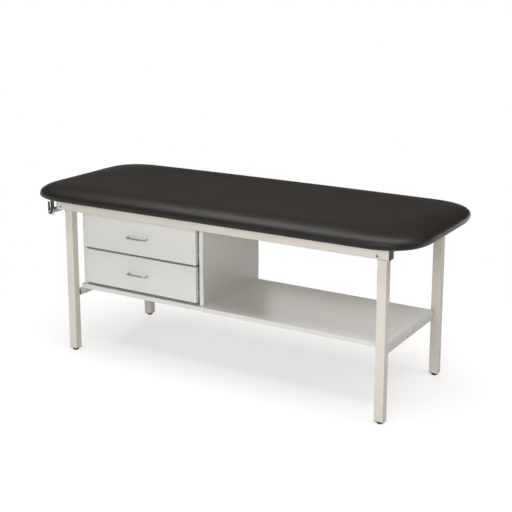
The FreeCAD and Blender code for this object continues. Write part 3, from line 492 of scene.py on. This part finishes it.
def runNodes(name, mesh, tree, values):
    carrier = bpy.data.objects.new(name, mesh)
    scene.collection.objects.link(carrier)
    modifier = carrier.modifiers.new(tree.name, "NODES")
    modifier.node_group = tree
    for socket in tree.interface.items_tree:
        if socket.in_out == "INPUT" and socket.name in values:
            modifier[socket.identifier] = values[socket.name]
    carrier.data = bakedMesh(carrier)
    carrier.modifiers.clear()
    return carrier


def randomBetween(tree, low, high, seed):
    inputs = {2: low, 3: high, "Seed": seed}
    return addNode(tree, "FunctionNodeRandomValue", inputs, data_type="FLOAT").outputs[1]


def pointsAlong(tree, given):
    # evenly spaced points on the edges of the mesh that the tree is given
    path = addNode(tree, "GeometryNodeMeshToCurve", {"Mesh": given["Geometry"]}).outputs[0]
    inputs = {"Curve": path, "Length": given["Spacing"]}
    return addNode(tree, "GeometryNodeCurveToPoints", inputs, mode="LENGTH").outputs


def scaled(tree, shape, size, place=(0, 0, 0), turn=(0, 0, 0)):
    inputs = {"Geometry": shape, "Scale": size, "Translation": place, "Rotation": turn}
    return addNode(tree, "GeometryNodeTransform", inputs).outputs[0]


def vectorOf(tree, x, y, z):
    return addNode(tree, "ShaderNodeCombineXYZ", {0: x, 1: y, 2: z}).outputs[0]


def joinShapes(tree, operation, shapes, base=None):
    node = addNode(tree, "GeometryNodeMeshBoolean", operation=operation, solver="EXACT")
    if base:
        tree.links.new(base, node.inputs[0])
    for shape in shapes:
        tree.links.new(shape, node.inputs[1])
    return node.outputs[0]


# screws and bolts: a button head with a cross recess over a plain shank, the recess painted near-black as
# painted shade
# painted shade: a near-black finish that stands in for the shadow inside the cross recess
recessShadeSettings = {"name": "screwRecessPaintedShade", "light": (0.035, 0.034, 0.032), "dark": (0.02, 0.02, 0.019),
                  "roughness": (0.5, 0.7), "grainScale": 900, "grainDepth": 0.00002, "gloss": 0.3}
screwSettings = {"Slot Length": 1.35, "Slot Width": 0.4, "Slot Depth": 0.85, "Turn Seed": 7,
                 "Finish": finishes["zinc_steel"], "Recess Painted Shade": makeMoulded(**recessShadeSettings)}
screwShape = {"headSegments": 28, "headRings": 14, "shankSides": 16, "sharpDegrees": 35}
# how a screw's head and shank are told apart in the CAD mesh
screwMeasure = {"mergeWithin": 1e-5, "rimShare": 0.9, "seatGap": 0.001}
screwNodes = {"frame": ("frameScrews", ["member_bolts", "stretcher_bolts", "top_screws", "hook_screws",
                                        "shelf_screws", "cabinet_screws"]),
              "upper_drawer": ("upperPullScrews", ["upper_pull_screws"]),
              "lower_drawer": ("lowerPullScrews", ["lower_pull_screws"])}


def screwTree():
    sockets = {"Slot Length": "Float", "Slot Width": "Float", "Slot Depth": "Float", "Turn Seed": "Int",
               "Finish": "Material", "Recess Painted Shade": "Material"}
    tree, given, made = newNodes("recessedScrews", sockets)
    s = screwShape
    # a head one unit high on a radius of one unit, with its recess, whose faces take the painted shade
    inputs = {"Segments": s["headSegments"], "Rings": s["headRings"], "Radius": 1.0}
    ball = addNode(tree, "GeometryNodeMeshUVSphere", inputs).outputs[0]
    block = addNode(tree, "GeometryNodeMeshCube", {"Size": (1, 1, 1)}).outputs[0]
    dome = joinShapes(tree, "INTERSECT", [ball, scaled(tree, block, (3, 3, 3), (0, 0, 1.5))])
    deep = mathNode(tree, "MULTIPLY", given["Slot Depth"], 2.0)
    slot = scaled(tree, block, vectorOf(tree, given["Slot Length"], given["Slot Width"], deep), (0, 0, 1))
    # the slot cutters carry the painted shade onto the faces they leave in the head
    inputs = {"Geometry": slot, "Material": given["Recess Painted Shade"]}
    slot = addNode(tree, "GeometryNodeSetMaterial", inputs).outputs[0]
    across = scaled(tree, slot, (1, 1, 1), turn=(0, 0, math.pi / 2))
    head = joinShapes(tree, "DIFFERENCE", [slot, across], dome)
    inputs = {"Vertices": s["shankSides"], "Radius": 1.0, "Depth": 1.0}
    rod = addNode(tree, "GeometryNodeMeshCylinder", inputs).outputs[0]
    shank = scaled(tree, rod, (1, 1, 1), (0, 0, -0.5))
    # one of each on every seat, the recess turned as it happened to stop
    sizes = {}
    for name in ("aim", "headSize", "shankSize"):
        node = addNode(tree, "GeometryNodeInputNamedAttribute", data_type="FLOAT_VECTOR")
        node.inputs["Name"].default_value = name
        sizes[name] = node.outputs["Attribute"]
    toward = addNode(tree, "FunctionNodeAlignRotationToVector", {"Vector": sizes["aim"]}, axis="Z").outputs[0]
    placed = []
    for shape, size in ((head, sizes["headSize"]), (shank, sizes["shankSize"])):
        inputs = {"Points": given["Geometry"], "Instance": shape, "Rotation": toward, "Scale": size}
        placed.append(addNode(tree, "GeometryNodeInstanceOnPoints", inputs).outputs[0])
    turn = vectorOf(tree, 0, 0, randomBetween(tree, 0.0, math.pi, given["Turn Seed"]))
    inputs = {"Instances": placed[0], "Rotation": turn}
    placed[0] = addNode(tree, "GeometryNodeRotateInstances", inputs).outputs[0]
    both = addNode(tree, "GeometryNodeJoinGeometry")
    for shape in reversed(placed):
        tree.links.new(shape, both.inputs[0])
    finishNodes(tree, both.outputs[0], given["Finish"], made, given["Recess Painted Shade"])
    return tree


def screwSeats(nodeName):
    # one entry for each solid of a fastener node: seat, direction of its head, sizes
    shell = bmesh.new()
    shell.from_mesh(cadNodes[nodeName].data)
    bmesh.ops.remove_doubles(shell, verts=shell.verts, dist=screwMeasure["mergeWithin"])
    seen, seats = set(), []
    for start in list(shell.verts):
        if start in seen:
            continue
        seen.add(start)
        island, waiting = [], [start]
        while waiting:
            vert = waiting.pop()
            island.append(tuple(vert.co))
            fresh = [edge.other_vert(vert) for edge in vert.link_edges if edge.other_vert(vert) not in seen]
            seen.update(fresh)
            waiting += fresh
        seats.append(measureScrew(np.array(island)))
    shell.free()
    return sorted(seats)


def measureScrew(points):
    middle = (points.min(0) + points.max(0)) / 2
    axis = int(np.argmax(np.ptp(points, axis=0)))
    along = points[:, axis] - middle[axis]
    radius = np.linalg.norm(np.delete(points - middle, axis, 1), axis=1)
    if radius[along < 0].max() > radius[along > 0].max():
        along, way = -along, -1
    else:
        way = 1
    seat = along[radius > screwMeasure["rimShare"] * radius.max()].min()
    shank = radius[along < seat - screwMeasure["seatGap"]].max()
    place, aim = middle.copy(), np.zeros(3)
    place[axis] += way * seat
    aim[axis] = way
    head = (radius.max(), radius.max(), along.max() - seat)
    return tuple(place), tuple(aim), head, (shank, shank, seat - along.min())


def makeScrews():
    tree = screwTree()
    for body, (name, nodeNames) in screwNodes.items():
        seats = [seat for nodeName in nodeNames for seat in screwSeats(nodeName)]
        mesh = bpy.data.meshes.new(name)
        mesh.from_pydata([seat[0] for seat in seats], [], [])
        for column, label in ((1, "aim"), (2, "headSize"), (3, "shankSize")):
            values = mesh.attributes.new(label, "FLOAT_VECTOR", "POINT").data
            values.foreach_set("vector", np.array([seat[column] for seat in seats]).ravel())
        piece = runNodes(name, mesh, tree, screwSettings)
        piece.data.set_sharp_from_angle(angle=math.radians(screwShape["sharpDegrees"]))
        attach(piece, body)
        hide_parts(*nodeNames)
        print(name, len(seats), "screws,", len(piece.data.polygons), "faces")


makeScrews()


# weld beads: overlapping drops along the joints of the frame
beadSettings = {"Bead Radius": 0.0021, "Spacing": 0.0024, "Least Size": 0.8, "Most Size": 1.15,
                "Size Seed": 11, "Finish": finishes["frame_paint"]}
beadShape = {"segments": 8, "rings": 5, "endGap": 0.002}


def beadTree():
    sockets = {"Bead Radius": "Float", "Spacing": "Float", "Least Size": "Float", "Most Size": "Float",
               "Size Seed": "Int", "Finish": "Material"}
    tree, given, made = newNodes("weldBeads", sockets)
    row = pointsAlong(tree, given)
    inputs = {"Radius": given["Bead Radius"], "Segments": beadShape["segments"], "Rings": beadShape["rings"]}
    drop = addNode(tree, "GeometryNodeMeshUVSphere", inputs).outputs[0]
    size = randomBetween(tree, given["Least Size"], given["Most Size"], given["Size Seed"])
    inputs = {"Points": row["Points"], "Instance": drop, "Rotation": row["Rotation"], "Scale": size}
    beads = addNode(tree, "GeometryNodeInstanceOnPoints", inputs).outputs[0]
    finishNodes(tree, beads, given["Finish"], made)
    return tree


def weldPaths():
    # under the rails along each leg, and round the ends of the low cross rails
    paths, gap = [], beadShape["endGap"]
    for side in ("front", "back"):
        for end, crossName in (("left", "head_cross_rail"), ("right", "foot_cross_rail")):
            low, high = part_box(f"{side}_{end}_leg")
            for x in (low.x, high.x):
                paths.append([(x, low.y + gap, high.z), (x, high.y - gap, high.z)])
            crossLow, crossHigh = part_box(crossName)
            y = high.y if side == "front" else low.y
            corner, edge = (high.x, crossLow.x) if end == "left" else (low.x, crossHigh.x)
            paths.append([(corner, y, crossHigh.z), (edge, y, crossHigh.z), (edge, y, crossLow.z),
                          (corner, y, crossLow.z)])
    return paths


def pathMesh(name, paths, closed=False):
    points, edges = [], []
    for path in paths:
        first = len(points)
        points += path
        edges += [(i, i + 1) for i in range(first, len(points) - 1)]
        if closed:
            edges.append((len(points) - 1, first))
    mesh = bpy.data.meshes.new(name)
    mesh.from_pydata([tuple(point) for point in points], edges, [])
    return mesh


def makeBeads():
    piece = runNodes("weldBeads", pathMesh("weldBeads", weldPaths()), beadTree(), beadSettings)
    piece.data.shade_smooth()
    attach(piece, "frame")
    print("weld beads,", len(piece.data.polygons), "faces")


makeBeads()


# vinyl turned under the board, pleated round the corners, with its row of staples
turnSettings = {"outer": 0.0235, "inner": 0.056, "thickness": 0.0009, "topLift": -0.0001,
                "steps": (0, 0.12, 0.3, 0.5, 0.7, 0.88, 1), "pleats": 9, "pleatDepth": 0.0011}
stapleSettings = {"Crown": 0.0105, "Wire": 0.0011, "Spacing": 0.042, "Most Turn": 0.22, "Turn Seed": 23,
                  "Finish": finishes["zinc_steel"]}
# how far a staple sinks in and its bends reach up, as shares of its wire
stapleShape = {"sink": 0.4, "bendDrop": 0.7}


def turnUnderMesh(name):
    s = turnSettings
    loops = []
    # in along the lower face, then out along the upper one
    for lift, steps in ((-s["thickness"], s["steps"]), (s["topLift"], s["steps"][::-1])):
        for share in steps:
            inset = s["outer"] + (s["inner"] - s["outer"]) * share
            loops.append(turnUnderLoop(inset, share, lift))
    count = len(loops[0])
    points = [point for loop in loops for point in loop]
    faces = []
    for k in range(len(loops)):
        nextLoop = (k + 1) % len(loops)
        for j in range(count):
            after = (j + 1) % count
            faces.append((k * count + j, nextLoop * count + j, nextLoop * count + after, k * count + after))
    mesh = bpy.data.meshes.new(name)
    mesh.from_pydata([tuple(point) for point in points], [], faces)
    return mesh


def turnUnderLoop(inset, share, lift):
    s, pad = turnSettings, padSettings
    straight = {0: pad["longSteps"], 1: pad["shortSteps"]}
    loop, start = padLoop(inset, lift), 0
    wave = np.zeros(len(loop))
    for turn in range(4):
        for step in range(pad["cornerSteps"] + 1):
            angle = step / pad["cornerSteps"] * math.pi
            wave[(start + step) % len(loop)] = math.sin(angle * s["pleats"]) ** 2 * math.sin(angle)
        start += pad["cornerSteps"] + straight[turn % 2]
    if lift < s["topLift"]:
        for point, rise in zip(loop, wave):
            point.z -= s["pleatDepth"] * rise * share
    return loop


def stapleTree():
    sockets = {"Crown": "Float", "Wire": "Float", "Spacing": "Float", "Most Turn": "Float",
               "Turn Seed": "Int", "Finish": "Material"}
    tree, given, made = newNodes("stapleRow", sockets)
    row = pointsAlong(tree, given)
    block = addNode(tree, "GeometryNodeMeshCube", {"Size": (1, 1, 1)}).outputs[0]
    crown = scaled(tree, block, vectorOf(tree, given["Crown"], given["Wire"], given["Wire"]))
    bend = scaled(tree, block, vectorOf(tree, given["Wire"], given["Wire"], given["Wire"]))
    halfCrown = mathNode(tree, "MULTIPLY", given["Crown"], 0.5)
    drop = mathNode(tree, "MULTIPLY", given["Wire"], stapleShape["bendDrop"])
    both = addNode(tree, "GeometryNodeJoinGeometry")
    tree.links.new(crown, both.inputs[0])
    for side in (-1.0, 1.0):
        out = mathNode(tree, "MULTIPLY", halfCrown, side)
        tree.links.new(scaled(tree, bend, (1, 1, 1), vectorOf(tree, out, 0, drop)), both.inputs[0])
    along = addNode(tree, "FunctionNodeAlignRotationToVector", {"Vector": row["Tangent"]}, axis="X",
                    pivot_axis="Z")
    inputs = {"Points": row["Points"], "Instance": both.outputs[0], "Rotation": along.outputs[0]}
    staples = addNode(tree, "GeometryNodeInstanceOnPoints", inputs).outputs[0]
    least = mathNode(tree, "MULTIPLY", given["Most Turn"], -1.0)
    turn = vectorOf(tree, 0, 0, randomBetween(tree, least, given["Most Turn"], given["Turn Seed"]))
    inputs = {"Instances": staples, "Rotation": turn}
    staples = addNode(tree, "GeometryNodeRotateInstances", inputs).outputs[0]
    finishNodes(tree, staples, given["Finish"], made)
    return tree


def makeTurnUnder():
    s = turnSettings
    flap = newPiece("vinylTurnUnder", turnUnderMesh("vinylTurnUnder"), finishes["black_vinyl"], "frame")
    lift = -s["thickness"] - stapleSettings["Wire"] * stapleShape["sink"]
    line = padLoop((s["outer"] + 2 * s["inner"]) / 3, lift)
    path = pathMesh("vinylStaples", [line], closed=True)
    staples = runNodes("vinylStaples", path, stapleTree(), stapleSettings)
    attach(staples, "frame")
    print("vinyl turned under,", len(flap.data.polygons), "faces")
    print("staples,", len(staples.data.polygons), "faces")


makeTurnUnder()


# edge tape on the sawn edges of the shelf and the cabinet's sides
tapeStrips = {"thickness": 0.0006, "round": 0.0002, "sharpDegrees": 50,
              "sawn": {"shelf": ("-x", "+x", "-y", "+y"), "cabinet_left_panel": ("-y",),
                       "cabinet_right_panel": ("-y",)}}


def makeTapes():
    shell = bmesh.new()
    thick = tapeStrips["thickness"]
    for nodeName, sides in tapeStrips["sawn"].items():
        for side in sides:
            low, high = (list(corner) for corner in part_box(nodeName))
            axis = "xyz".index(side[1])
            if side[0] == "-":
                low[axis], high[axis] = low[axis] - thick, low[axis]
            else:
                low[axis], high[axis] = high[axis], high[axis] + thick
            strip = bmesh.ops.create_cube(shell, size=1.0)["verts"]
            for vert in strip:
                vert.co = Vector([high[i] if vert.co[i] > 0 else low[i] for i in range(3)])
            edges = list({edge for vert in strip for edge in vert.link_edges})
            bmesh.ops.bevel(shell, geom=edges, offset=tapeStrips["round"], segments=2, affect="EDGES")
    mesh = bpy.data.meshes.new("edgeTapes")
    shell.to_mesh(mesh)
    shell.free()
    piece = newPiece("edgeTapes", mesh, edgeTape, "frame")
    piece.data.set_sharp_from_angle(angle=math.radians(tapeStrips["sharpDegrees"]))
    print("edge tapes,", len(mesh.polygons), "faces")


makeTapes()


# floor, light and camera
stageSettings = {"floorSize": 200.0, "floorColour": (0.45, 0.44, 0.43, 1), "lift": 0.555, "whiteFrom": 0.6,
                 "whiteTo": 1.6, "horizonLight": 1.0, "zenithLight": 0.06, "domeRise": (0.06, 0.12),
                 "domeTint": (1.0, 0.89, 0.8)}
softboxes = {
    "keySoftbox": {"place": (0.9, -4.4, 1.8), "aim": (0, 0, 0.5), "size": (3.2, 1.8), "power": 136},
    "topSoftbox": {"place": (0.1, -0.35, 3.1), "aim": (0.1, -0.2, 0.7), "size": (4.2, 2.4), "power": 150},
    "shelfGloss": {"place": (0.52, 0.62, 0.6), "aim": (0.6, -0.3, 0.3), "size": (1.5, 0.22), "power": 2.2,
                   "diffuse": False},
    "sideSoftbox": {"place": (3.6, 0.2, 2.6), "aim": (0.7, 0, 0.5), "size": (2.0, 2.0), "power": 30},
    "backFill": {"place": (-2.2, 4.0, 1.7), "aim": (0, 0, 0.4), "size": (3.0, 2.2), "power": 62,
                 "gloss": False},
}


def backgroundRay(tree):
    # one where the camera or a mirror-like surface looks straight at the background
    path = addNode(tree, "ShaderNodeLightPath").outputs
    seen = mathNode(tree, "MAXIMUM", path["Is Camera Ray"], path["Is Glossy Ray"])
    return mathNode(tree, "MAXIMUM", seen, path["Is Transmission Ray"])


def makeFloor():
    s = stageSettings
    shell = bmesh.new()
    bmesh.ops.create_grid(shell, x_segments=4, y_segments=4, size=s["floorSize"] / 2)
    mesh = bpy.data.meshes.new("studioFloor")
    shell.to_mesh(mesh)
    shell.free()
    floor = bpy.data.objects.new("studioFloor", mesh)
    scene.collection.objects.link(floor)
    material = bpy.data.materials.new("paleFloor")
    material.use_nodes = True
    tree = material.node_tree
    tree.nodes.clear()
    # shadows near the object, plain white further out
    matt = addNode(tree, "ShaderNodeBsdfDiffuse", {"Color": s["floorColour"]})
    seen = backgroundRay(tree)
    lift = addNode(tree, "ShaderNodeEmission", {"Strength": mathNode(tree, "MULTIPLY", seen, s["lift"])})
    near = addNode(tree, "ShaderNodeAddShader", {0: matt.outputs[0], 1: lift.outputs[0]})
    place = addNode(tree, "ShaderNodeTexCoord").outputs["Object"]
    away = addNode(tree, "ShaderNodeVectorMath", {0: place}, operation="LENGTH").outputs["Value"]
    far = mathNode(tree, "MULTIPLY", remap(tree, away, 0, 1, s["whiteFrom"], s["whiteTo"]), seen)
    white = addNode(tree, "ShaderNodeEmission", {"Strength": 1.0})
    both = addNode(tree, "ShaderNodeMixShader", {0: far, 1: near.outputs[0], 2: white.outputs[0]})
    addNode(tree, "ShaderNodeOutputMaterial", {"Surface": both.outputs[0]})
    mesh.materials.append(material)


def makeWorld():
    s = stageSettings
    world = bpy.data.worlds.new("studio")
    scene.world = world
    world.use_nodes = True
    tree = world.node_tree
    tree.nodes.clear()
    # plain white at the horizon, warm and dim overhead, the same to every ray
    place = addNode(tree, "ShaderNodeTexCoord").outputs["Generated"]
    height = addNode(tree, "ShaderNodeSeparateXYZ", {0: place}).outputs["Z"]
    upward = remap(tree, height, 0, 1, *s["domeRise"])
    strength = remap(tree, upward, s["horizonLight"], s["zenithLight"], 0, 1)
    sky = addNode(tree, "ShaderNodeBackground", {"Strength": strength})
    tree.links.new(blendColour(tree, upward, (1, 1, 1), s["domeTint"]), sky.inputs["Color"])
    addNode(tree, "ShaderNodeOutputWorld", {"Surface": sky.outputs[0]})


def addSoftbox(name, place, aim, size, power, diffuse=True, gloss=True):
    lamp = bpy.data.lights.new(name, "AREA")
    lamp.shape = "RECTANGLE"
    lamp.size, lamp.size_y = size
    lamp.energy = power
    box = bpy.data.objects.new(name, lamp)
    scene.collection.objects.link(box)
    box.location = place
    box.visible_camera = False
    box.visible_diffuse, box.visible_glossy = diffuse, gloss
    box.rotation_euler = (Vector(aim) - Vector(place)).to_track_quat("-Z", "Y").to_euler()


cameraSettings = {"place": (2.2436, -3.6409, 1.6988), "pitch": 0.205, "yaw": 0.542, "focalPixels": 1036.5,
                  "frameWidth": 512, "middleRow": 179, "sensor": 36}


def makeCamera():
    s = cameraSettings
    lens = bpy.data.cameras.new("photoView")
    lens.sensor_width = s["sensor"]
    lens.lens = lens.sensor_width * s["focalPixels"] / s["frameWidth"]
    lens.shift_y = (s["middleRow"] - s["frameWidth"] / 2) / s["frameWidth"]
    camera = bpy.data.objects.new("photoView", lens)
    scene.collection.objects.link(camera)
    camera.location = s["place"]
    camera.rotation_euler = (math.pi / 2 - s["pitch"], 0, s["yaw"])
    scene.camera = camera


makeFloor()
makeWorld()
for boxName, settings in softboxes.items():
    addSoftbox(boxName, **settings)
makeCamera()
scene.view_settings.view_transform = "Standard"
print("floor, light and camera set")
